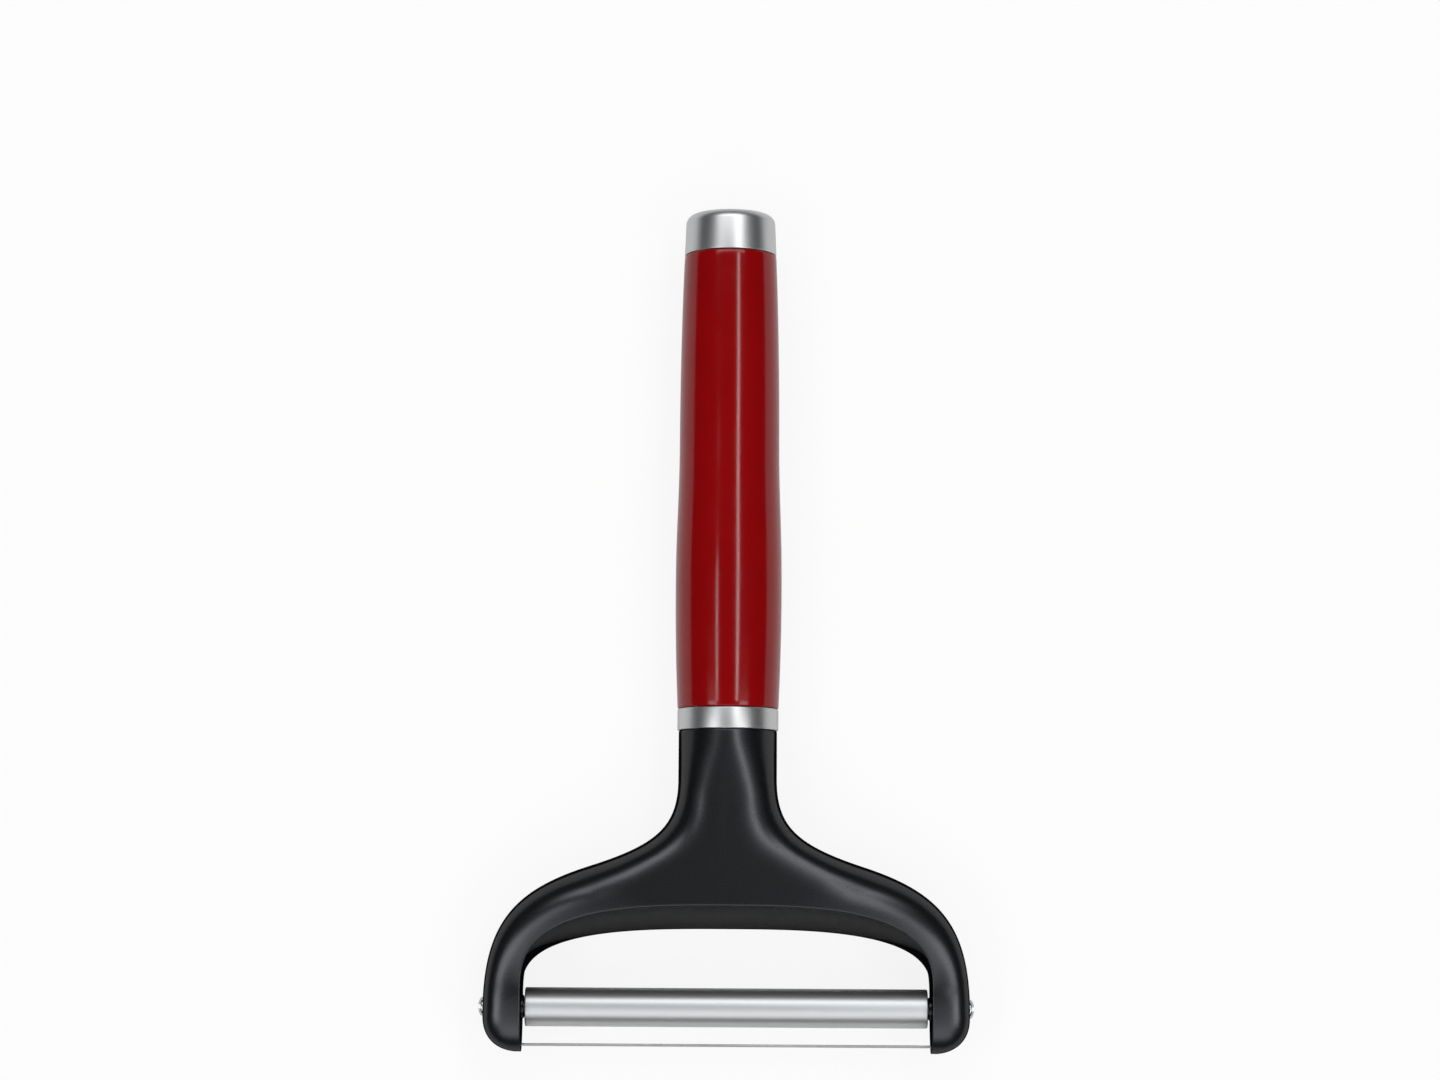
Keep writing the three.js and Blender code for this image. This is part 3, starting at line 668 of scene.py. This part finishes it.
class AddYoke(bpy.types.Operator):
    """Loft the forked head rib by rib, mirror it and cut its seats for screws and wire"""

    bl_idname = "slicer.add_yoke"
    bl_label = "Forked Head"
    # Handles of the outline's curves, as shares of the way between their knots.
    neck_handle, shoulder_below, shoulder_above, leg_handle = 0.55, 0.79, 0.745, 0.61
    # Share of the neck's flare that ends at the opening's crown.
    crown_share = 0.57
    # Powers of the opening's arch and of the ribs' crowding towards its middle.
    arch_power, crowding = 3, 1.7
    # Where along an arm its depth and its section change, as start and length in shares of the arm.
    thinning, arm_change, leg_change = (0.15, 0.75), (0, 0.3), (0.5, 0.35)
    # Last angle of a tip's rounding, and how far the nose closes.
    last_angle, blunt = math.radians(82), 0.985
    # Points on each curve, and ribs or points on each stretch.
    curve_points, top_ribs, neck_ribs, flare_ribs, arch_ribs, tip_ribs = 200, 5, 9, 30, 64, 22
    slit_points = 24

    def arch(self, size, crown):
        """Half of an opening's outline from its middle to the straight leg."""
        spring = YOKE_LOW.y + size.spring_rise
        points = []
        for step in range(self.curve_points + 1):
            width, height = quarter((1 - step / self.curve_points) * math.pi / 2, self.arch_power)
            points.append(Vector((size.half_span * width, lerp(spring, crown, height))))
        return Track(points)

    def outline(self, size, neck_end):
        """Curves of the head's right side, from the neck to the shoulder and on to a leg."""
        outer_x = size.half_span + size.leg_width
        shoulder = Vector((size.shoulder_reach, YOKE_LOW.y + size.shoulder_rise))
        along = Vector((1, -size.shoulder_slope)).normalized()
        leg_start = Vector((outer_x, YOKE_LOW.y + size.tip_length + size.leg_straight))
        flare = interpolate_bezier(
            neck_end,
            Vector((neck_end.x, lerp(neck_end.y, shoulder.y, self.neck_handle))),
            shoulder - along * (shoulder.x - neck_end.x) * self.shoulder_below,
            shoulder,
            self.curve_points,
        )
        sweep = interpolate_bezier(
            shoulder,
            shoulder + along * (outer_x - shoulder.x) * self.shoulder_above,
            Vector((outer_x, lerp(leg_start.y, shoulder.y, self.leg_handle))),
            leg_start,
            self.curve_points,
        )
        return flare, sweep

    def ribs(self, size, play):
        """All ribs from the neck's top to a leg's tip."""
        neck, tip, soft = size.neck_radius, YOKE_LOW.y, size.neck_edge
        top_y = FERRULE_LOW.y - play
        neck_end = Vector((neck, top_y - size.neck_length))
        flare, sweep = self.outline(size, neck_end)
        outline = Track(flare + sweep[1:])
        crown_run = Track(flare).runs[-1] * self.crown_share
        ridge_y = tip + size.ridge_rise
        edge_y = ridge_y + size.edge_rise
        ridge, edge = self.arch(size, ridge_y), self.arch(size, edge_y)
        belly = HANDLE_AXIS.z

        def swell(y):
            """Half the head's depth below the ferrule, which grows fast at first."""
            part = min((top_y - soft - y) / size.swell_length, 1)
            return lerp(belly, neck, (1 - part) ** 2)

        def fullness(y):
            """Power of the section, which turns from round to flat below the ferrule."""
            return ease(2, size.neck_power, (top_y - y) / size.flatten_length)

        ribs = []
        for step in range(self.top_ribs + 1):
            angle = math.pi / 2 * step / self.top_ribs
            radius = neck - soft * (1 - math.sin(angle))
            y = top_y - soft * (1 - math.cos(angle))
            ribs.append(Rib(Vector((radius, y)), Vector((0, y)), radius, radius, 2))
        for step in range(1, self.neck_ribs):
            y = lerp(top_y - soft, neck_end.y, step / self.neck_ribs)
            ribs.append(Rib(Vector((neck, y)), Vector((0, y)), swell(y), neck, fullness(y)))
        for step in range(self.flare_ribs + 1):
            part = step / self.flare_ribs
            outer = outline.at_run(part * crown_run)
            inner = Vector((0, lerp(neck_end.y, edge_y, part)))
            full = (outer - inner).length
            rounding = ease(full, min(size.rolled_edge, full), part)
            opening = ()
            if step == self.flare_ribs:
                opening = (Vector((0, ridge_y)), Vector((0, 1)), size.crisp_edge)
            ribs.append(Rib(outer, inner, swell(inner.y), rounding, fullness(inner.y), *opening))
        rest = outline.runs[-1] - crown_run
        for step in range(1, self.arch_ribs + 1):
            part = step / self.arch_ribs
            thin, arm, leg = (
                (part - start) / span for start, span in (self.thinning, self.arm_change, self.leg_change)
            )
            outer = outline.at_run(crown_run + part * rest)
            inward = 1 - (1 - part) ** self.crowding
            depth = ease(belly, size.leg_depth / 2, thin)
            power = ease(ease(size.neck_power, size.arm_power, arm), size.leg_power, leg)
            opening = (ridge.at(inward), edge.left_of(inward), size.crisp_edge)
            ribs.append(Rib(outer, edge.at(inward), depth, size.rolled_edge, power, *opening))
        full_height = quarter(self.last_angle, TIP_POWER)[1]
        for step in range(self.tip_ribs + 1):
            width, height = quarter(self.last_angle * step / self.tip_ribs, TIP_POWER)
            y = tip + size.tip_length * (1 - height / full_height)
            inner = Vector((size.half_span, y))
            outer = Vector((size.half_span + size.leg_width * width, y))
            opening = (inner, ALONG_X.xy, size.crisp_edge)
            ribs.append(Rib(outer, inner, size.leg_depth / 2, size.rolled_edge, size.leg_power, *opening))
        return ribs

    def thinned(self, line, size):
        """Line whose depth shrinks to a blunt nose at the leg tips."""
        points = []
        for point in line:
            fall = self.blunt * max(1 - (point.y - YOKE_LOW.y) / size.nose_length, 0)
            left = (1 - fall**TIP_POWER) ** (1 / TIP_POWER)
            points.append(Vector((point.x, point.y, lerp(HANDLE_AXIS.z, point.z, left))))
        return points

    def execute(self, context):
        size, handle = context.scene.slicer_head, context.scene.slicer_handle
        roller = context.scene.slicer_roller
        ribs = self.ribs(size, roller.play)
        yoke = loft("black_yoke", [self.thinned(rib.skin(), size) for rib in ribs])
        wall = loft("opening_wall", [self.thinned(rib.wall(), size) for rib in ribs if rib.ridge])
        select_only(yoke, wall)
        bpy.ops.object.join()
        apply_modifier(yoke, "MIRROR", use_axis=(True, False, False), merge_threshold=WELD)
        bpy.ops.object.mode_set(mode="EDIT")
        bpy.ops.mesh.select_all(action="SELECT")
        bpy.ops.mesh.remove_doubles(threshold=WELD)
        bpy.ops.mesh.fill_holes(sides=0)
        close_up()
        self.raise_seat(yoke, handle.sheet + roller.play)
        self.cut_seats(yoke, size, roller)
        put_in_place(yoke, "yoke", "frame", black_nylon(), angle=28)
        return {"FINISHED"}

    def raise_seat(self, yoke, margin):
        """Raise the seat that the ferrule slips over from the neck's top face."""
        seat = (FERRULE_HIGH.x - FERRULE_LOW.x) / 2 - margin
        select_only(yoke)
        bpy.ops.object.mode_set(mode="EDIT")
        bpy.ops.mesh.select_all(action="DESELECT")
        mesh = bmesh.from_edit_mesh(yoke.data)
        top = max(mesh.faces, key=lambda face: face.calc_center_median().y)
        top.select_set(True)
        rim = max((vert.co - HANDLE_AXIS).xz.length for vert in top.verts)
        bmesh.update_edit_mesh(yoke.data)
        bpy.ops.mesh.inset(thickness=rim - seat, depth=0)
        rise = FERRULE_HIGH.y - FERRULE_LOW.y
        bpy.ops.mesh.extrude_region_move(TRANSFORM_OT_translate={"value": (0, rise, 0)})
        bpy.ops.object.mode_set(mode="OBJECT")

    def cut_seats(self, yoke, size, roller):
        """Add the roller's pads and cut the screw seats and the wire's slits on both legs."""
        half_span, centre = size.half_span, Vector((0, *ROLLER_AXIS.yz))
        pad_end = half_span - size.boss_height
        pad = [(0, half_span + OVERLAP, 0), (size.boss_radius, half_span + OVERLAP, 0)]
        pad += [(size.boss_radius, pad_end, size.boss_edge), (0, pad_end, 0)]
        pads = turn("roller_pads", soft_outline(pad), centre, ALONG_X, steps=60)
        apply_modifier(pads, "MIRROR", use_axis=(True, False, False))
        combine(yoke, pads, "UNION")

        hook = HookPlace(roller)
        far = half_span + 2 * size.leg_width
        bore = roller.pin_radius + roller.play
        hole = [(0, pad_end - OVERLAP, 0), (bore, pad_end - OVERLAP, 0), (bore, hook.floor, 0)]
        hole += [(hook.recess, hook.floor, 0), (hook.recess, far, 0), (0, far, 0)]
        holes = turn("screw_holes", soft_outline(hole), centre, ALONG_X, steps=52)
        apply_modifier(holes, "MIRROR", use_axis=(True, False, False))
        combine(yoke, holes, "DIFFERENCE")

        room = roller.wire_radius + roller.wire_play
        tip_start = YOKE_LOW.y + size.tip_length
        width = hook.x - half_span - room
        height = tip_start - hook.wire.y - room
        shape = [Vector((pad_end, tip_start - height))]
        for step in range(self.slit_points + 1):
            across, down = quarter((1 - step / self.slit_points) * math.pi / 2, TIP_POWER)
            shape.append(Vector((half_span + width * across, tip_start - height * down)))
        shape += [Vector((far, tip_start)), Vector((far, YOKE_LOW.y - size.leg_width))]
        shape += [Vector((pad_end, YOKE_LOW.y - size.leg_width)), shape[0]]
        slits = draw_line("wire_slits", [Vector((p.x, p.y, HANDLE_AXIS.z - room)) for p in shape])
        bpy.ops.mesh.select_all(action="SELECT")
        bpy.ops.mesh.remove_doubles(threshold=WELD)
        bpy.ops.mesh.edge_face_add()
        bpy.ops.mesh.extrude_region_move(TRANSFORM_OT_translate={"value": (0, 0, 2 * room)})
        close_up()
        apply_modifier(slits, "MIRROR", use_axis=(True, False, False))
        combine(yoke, slits, "DIFFERENCE")


class AddRoller(bpy.types.Operator):
    """Turn the roller tube and the plugs in its ends"""

    bl_idname = "slicer.add_roller"
    bl_label = "Roller"

    def execute(self, context):
        size, finish = context.scene.slicer_roller, context.scene.slicer_finishes
        centre = Vector((0, *ROLLER_AXIS.yz))
        outer, end = (TUBE_HIGH.y - TUBE_LOW.y) / 2, TUBE_HIGH.x
        inner = outer - size.tube_wall
        wall = [(inner, 0, 0), (inner, -end, size.tube_edge / 2), (outer, -end, size.tube_edge)]
        wall += [(outer, end, size.tube_edge), (inner, end, size.tube_edge / 2), (inner, 0, 0)]
        tube = turn("steel_roller_tube", soft_outline(wall), centre, ALONG_X, steps=128)
        ground = turned_steel(
            "Stainless steel tube, centreless ground", finish.ground_steel, ALONG_X, ROLLER_AXIS,
            line=0.0003, low=0.44, high=0.47, relief=0.008,
        )
        put_in_place(tube, "roller_tube", "roller", ground)

        bore, rim = size.pin_radius + size.play, inner - size.play
        back, face, soft = PLUG_LOW.x, PLUG_HIGH.x, size.plug_edge
        plug = [(bore, (back + face) / 2, 0), (bore, back, soft), (rim, back, soft)]
        plug += [(rim, face, soft), (bore, face, soft), (bore, (back + face) / 2, 0)]
        nylon = black_nylon()
        right = turn("roller_plug_right_nylon", soft_outline(plug, steps=4), centre, ALONG_X, steps=64)
        put_in_place(right, "roller_plug_right", "roller", nylon)
        left = mirrored_copy(right, "roller_plug_left_nylon")
        put_in_place(left, "roller_plug_left", "roller", nylon)
        return {"FINISHED"}


class AddScrews(bpy.types.Operator):
    """Turn a dome-headed pivot screw, cut its slot and copy it to the other leg"""

    bl_idname = "slicer.add_screws"
    bl_label = "Pivot Screws"
    # Share of the head below its dome, and points on the dome.
    rim_share, dome_points = 0.35, 12

    def execute(self, context):
        size, finish = context.scene.slicer_roller, context.scene.slicer_finishes
        centre = Vector((0, *ROLLER_AXIS.yz))
        pin, head = size.pin_radius, (SCREW_HIGH.y - SCREW_LOW.y) / 2
        end, top = SCREW_LOW.x, SCREW_HIGH.x
        seat = top - size.head_height
        rim = seat + size.head_height * self.rim_share
        corners = [(0, end, 0), (pin, end, size.pin_edge), (pin, seat, 0), (head, seat, size.head_edge)]
        for step in range(self.dome_points + 1):
            angle = math.pi / 2 * step / self.dome_points
            corners.append((head * math.cos(angle), lerp(rim, top, math.sin(angle)), 0))
        corners[-1] = (0, top, 0)
        right = turn("pivot_screw_right_steel", soft_outline(corners, steps=4), centre, ALONG_X, steps=64)
        bpy.ops.object.select_all(action="DESELECT")
        bpy.ops.mesh.primitive_cube_add(size=1, calc_uvs=False, location=(0, 0, 0))
        slot = bpy.context.object
        bpy.ops.object.mode_set(mode="EDIT")
        bpy.ops.transform.resize(value=(2 * size.slot_depth, size.slot_width, 4 * head))
        bpy.ops.transform.translate(value=(top, *centre.yz))
        bpy.ops.object.mode_set(mode="OBJECT")
        combine(right, slot, "DIFFERENCE")
        bright = turned_steel(
            "Stainless steel screw, turned bright", finish.screw_steel, ALONG_X, ROLLER_AXIS,
            line=0.00015, low=0.18, high=0.3, relief=0.1,
        )
        put_in_place(right, "pivot_screw_right", "frame", bright)
        left = mirrored_copy(right, "pivot_screw_left_steel")
        put_in_place(left, "pivot_screw_left", "frame", bright)
        return {"FINISHED"}


class AddWire(bpy.types.Operator):
    """Draw the taut cutting wire round the leg tips and hook it under the screws"""

    bl_idname = "slicer.add_wire"
    bl_label = "Cutting Wire"
    # Where the hook starts round the pin and how far it goes, and points on each stretch of the wire.
    hook_start, hook_turn = math.radians(65), math.radians(220)
    tip_points, hook_points = 10, 12
    span_shares = (-0.9, -0.5, 0, 0.5, 0.9)

    def tail(self, head, roller, side):
        """Wire's run on one leg, from the opening to the hook's end."""
        hook = HookPlace(roller)
        tip_start = YOKE_LOW.y + head.tip_length
        bend_end = ROLLER_AXIS.y - hook.recess - roller.hook_gap
        flat = []
        for step in range(self.tip_points + 1):
            across, down = quarter((1 - step / self.tip_points) * math.pi / 2, TIP_POWER)
            y = lerp(tip_start, hook.wire.y, down)
            if y < bend_end:
                flat.append((lerp(head.half_span, hook.x, across), y, 0))
        flat.append((hook.x, bend_end, 0))
        for step in range(self.hook_points + 1):
            angle = self.hook_start + self.hook_turn * step / self.hook_points
            y = ROLLER_AXIS.y - hook.radius * math.cos(angle)
            flat.append((hook.x, y, hook.radius * math.sin(angle)))
        return [Vector((side * x, y, HANDLE_AXIS.z + z)) for x, y, z in flat]

    def execute(self, context):
        head, roller = context.scene.slicer_head, context.scene.slicer_roller
        middle = HookPlace(roller).wire
        span = [middle + ALONG_X * head.half_span * part for part in self.span_shares]
        points = self.tail(head, roller, -1)[::-1] + span + self.tail(head, roller, 1)
        draw_line("steel_cutting_wire", points)
        bpy.ops.object.mode_set(mode="OBJECT")
        bpy.ops.object.convert(target="CURVE")
        bpy.ops.object.mode_set(mode="EDIT")
        bpy.ops.curve.select_all(action="SELECT")
        bpy.ops.curve.spline_type_set(type="BEZIER")
        bpy.ops.curve.handle_type_set(type="AUTOMATIC")
        bpy.ops.object.mode_set(mode="OBJECT")
        wire = bpy.context.object
        wire.data.resolution_u = 8
        wire.data.bevel_depth = roller.wire_radius
        wire.data.bevel_resolution = 4
        wire.data.use_fill_caps = True
        bpy.ops.object.convert(target="MESH")
        wire = bpy.context.object
        bpy.ops.object.mode_set(mode="EDIT")
        close_up()
        put_in_place(wire, "cutting_wire", "frame", drawn_wire())
        return {"FINISHED"}


# Stage


def add_floor(side, material):
    """Square floor under the tool."""
    corners = [(-1, -1), (1, -1), (1, 1), (-1, 1), (-1, -1)]
    floor = draw_line("paper_floor", [Vector((x, y, 0)) * side / 2 for x, y in corners])
    bpy.ops.mesh.select_all(action="SELECT")
    bpy.ops.mesh.remove_doubles(threshold=WELD)
    bpy.ops.mesh.edge_face_add()
    bpy.ops.object.mode_set(mode="OBJECT")
    floor.data.materials.append(material)


def add_lamp(name, low, high, level):
    """Rectangular lamp over the tool that shines straight down; its level is the brightness of its face."""
    lamp = bpy.data.lights.new(name, "AREA")
    width, depth = high[0] - low[0], high[1] - low[1]
    lamp.shape, lamp.size, lamp.size_y = "RECTANGLE", width, depth
    lamp.energy = math.pi * width * depth * level
    holder = bpy.data.objects.new(name, lamp)
    height = bpy.context.scene.slicer_stage.lamp_height
    holder.location = ((low[0] + high[0]) / 2, (low[1] + high[1]) / 2, height)
    bpy.context.scene.collection.objects.link(holder)


class AddStage(bpy.types.Operator):
    """Lay the paper floor and set up sky, lamps and camera"""

    bl_idname = "slicer.add_stage"
    bl_label = "Stage"

    def execute(self, context):
        scene = context.scene
        values, finish = scene.slicer_stage, scene.slicer_finishes
        scene.view_settings.view_transform = "Standard"

        paper, tree, shader = start_material("Paper, matt white", Roughness=0.9)
        at = add_node(tree, "ShaderNodeTexCoord").outputs["Object"]
        fibre = noise(tree, at, 0.002, 3.0)
        mottle(tree, shader.inputs["Base Color"], fibre, finish.floor, 0.99, 1.01, 0, 1)
        # The paper is seen partly as plain white, so that the tool's shadow on it stays pale.
        seen = add_node(tree, "ShaderNodeLightPath").outputs["Is Camera Ray"]
        whiteness = add_node(
            tree, "ShaderNodeMath", {"operation": "MULTIPLY", 1: values.paper_white}, {0: seen}
        )
        white = add_node(tree, "ShaderNodeEmission", {"Color": (1, 1, 1, 1), "Strength": 1.0})
        blend = add_node(
            tree, "ShaderNodeMixShader", None,
            {"Fac": whiteness.outputs["Value"], 1: shader.outputs["BSDF"], 2: white.outputs["Emission"]},
        )
        tree.links.new(blend.outputs["Shader"], tree.nodes["Material Output"].inputs["Surface"])
        # The white is there for the camera alone, so the paper is no lamp.
        paper.cycles.emission_sampling = "NONE"
        add_floor(values.floor_size, paper)

        sky = scene.world or bpy.data.worlds.new("Sky")
        scene.world = sky
        sky.use_nodes = True
        backdrop = sky.node_tree.nodes["Background"]
        backdrop.inputs["Color"].default_value = (1, 1, 1, 1)
        backdrop.inputs["Strength"].default_value = values.sky

        # The soft lamps leave a dark lane over the handle in which only the strips show.
        # Each has its low and its high corner as seen from above, in metres, and its level.
        lamps = {
            "soft_right": ((0.48, -0.75), (1.00, -0.06), values.side),
            "soft_left": ((-1.00, -0.75), (-0.48, -0.06), values.side),
            "soft_over": ((-0.40, -0.75), (0.40, -0.30), values.over),
            "soft_back": ((-0.70, 0.48), (0.70, 1.00), values.back),
            "soft_front": ((-0.60, -1.70), (0.60, -0.75), values.front),
            "strip_right": ((0.30, -0.06), (0.41, 0.44), values.strip_right),
            "strip_left": ((-0.51, -0.06), (-0.42, 0.15), values.strip_left),
        }
        for name, (low, high, level) in lamps.items():
            add_lamp(name, low, high, level)

        lens = bpy.data.cameras.new("Camera")
        lens.lens, lens.sensor_width = values.lens, values.film
        camera = bpy.data.objects.new("Camera", lens)
        back = Vector((0, -math.cos(values.elevation), math.sin(values.elevation)))
        camera.location = Vector(values.aim) + back * values.distance
        camera.rotation_mode = "QUATERNION"
        turned = Quaternion((0, 0, 1), values.roll)
        camera.rotation_quaternion = (-back).to_track_quat("-Z", "Y") @ turned
        scene.collection.objects.link(camera)
        scene.camera = camera
        return {"FINISHED"}


class SlicerPanel(bpy.types.Panel):
    """Sidebar list of the slicer's pieces"""

    bl_idname = "VIEW3D_PT_slicer"
    bl_label = "Roller Cheese Slicer"
    bl_space_type = "VIEW_3D"
    bl_region_type = "UI"
    bl_category = "Slicer"

    def draw(self, context):
        for operator in PIECES:
            self.layout.operator(operator.bl_idname)
        for name in GROUPS:
            group = getattr(context.scene, name)
            box = self.layout.box()
            for value in group.bl_rna.properties.keys():
                if value not in ("rna_type", "name"):
                    box.prop(group, value)


GROUPS = {
    "slicer_handle": HandleSizes,
    "slicer_head": HeadSizes,
    "slicer_roller": RollerSizes,
    "slicer_finishes": Finishes,
    "slicer_stage": StageValues,
}
PIECES = (AddGrip, AddFittings, AddYoke, AddRoller, AddScrews, AddWire, AddStage)


def register():
    """Register the groups, operators and panel."""
    for name, group in GROUPS.items():
        bpy.utils.register_class(group)
        setattr(bpy.types.Scene, name, bpy.props.PointerProperty(type=group))
    for operator in PIECES:
        bpy.utils.register_class(operator)
    bpy.utils.register_class(SlicerPanel)


def unregister():
    """Take them out again."""
    bpy.utils.unregister_class(SlicerPanel)
    for operator in reversed(PIECES):
        bpy.utils.unregister_class(operator)
    for name, group in GROUPS.items():
        delattr(bpy.types.Scene, name)
        bpy.utils.unregister_class(group)


def main():
    """Build every piece and the stage."""
    register()
    bpy.ops.slicer.add_grip()
    bpy.ops.slicer.add_fittings()
    bpy.ops.slicer.add_yoke()
    bpy.ops.slicer.add_roller()
    bpy.ops.slicer.add_screws()
    bpy.ops.slicer.add_wire()
    bpy.ops.slicer.add_stage()


if __name__ == "__main__":
    main()
